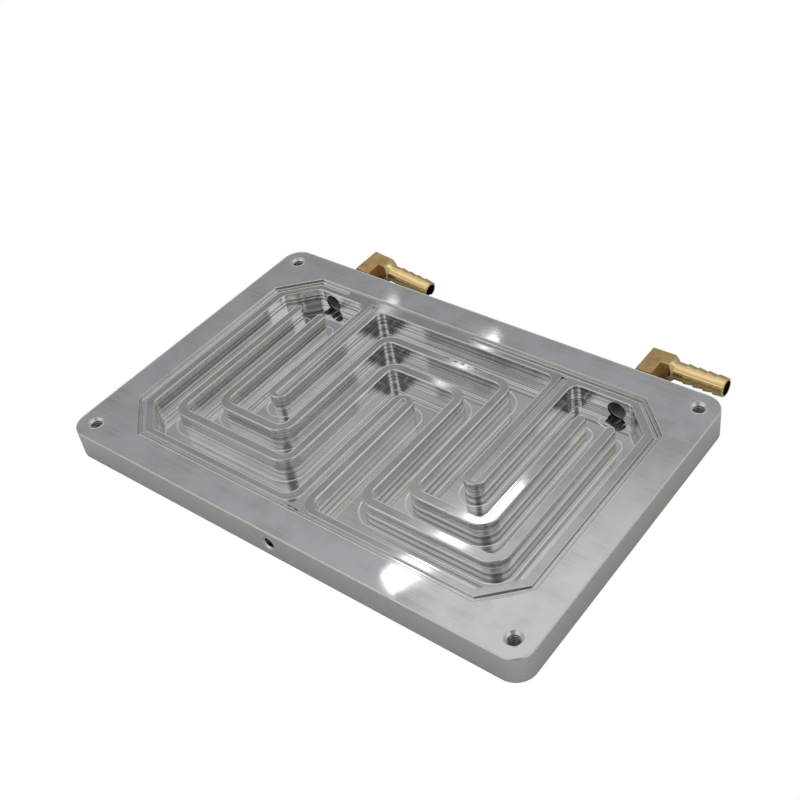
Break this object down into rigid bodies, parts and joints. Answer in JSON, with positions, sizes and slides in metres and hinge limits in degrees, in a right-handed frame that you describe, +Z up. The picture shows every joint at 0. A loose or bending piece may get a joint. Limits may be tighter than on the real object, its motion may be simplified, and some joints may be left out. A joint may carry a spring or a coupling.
{
  "type": "liquid cooling cold plate",
  "caption": "Rectangular liquid cooling plate, open on top, with a folded three-lane coolant channel, tapped corner holes and brass hose elbows on its back edge.",
  "frame": {"origin": "centre of the plate's underside", "axes": "+Z up out of the open channel, +X along the plate's length, +Y towards the edge with the ports and elbows"},
  "size_m": [0.24, 0.1744, 0.015],
  "materials": {
    "milled_aluminium": "bright milled, with fine cutter marks",
    "forged_brass": "satin forged body, bright turned tail"
  },
  "bodies": {
    "root": {"base_plate": "milled_aluminium", "left_hose_elbow": "forged_brass", "right_hose_elbow": "forged_brass"}
  },
  "joints": []
}
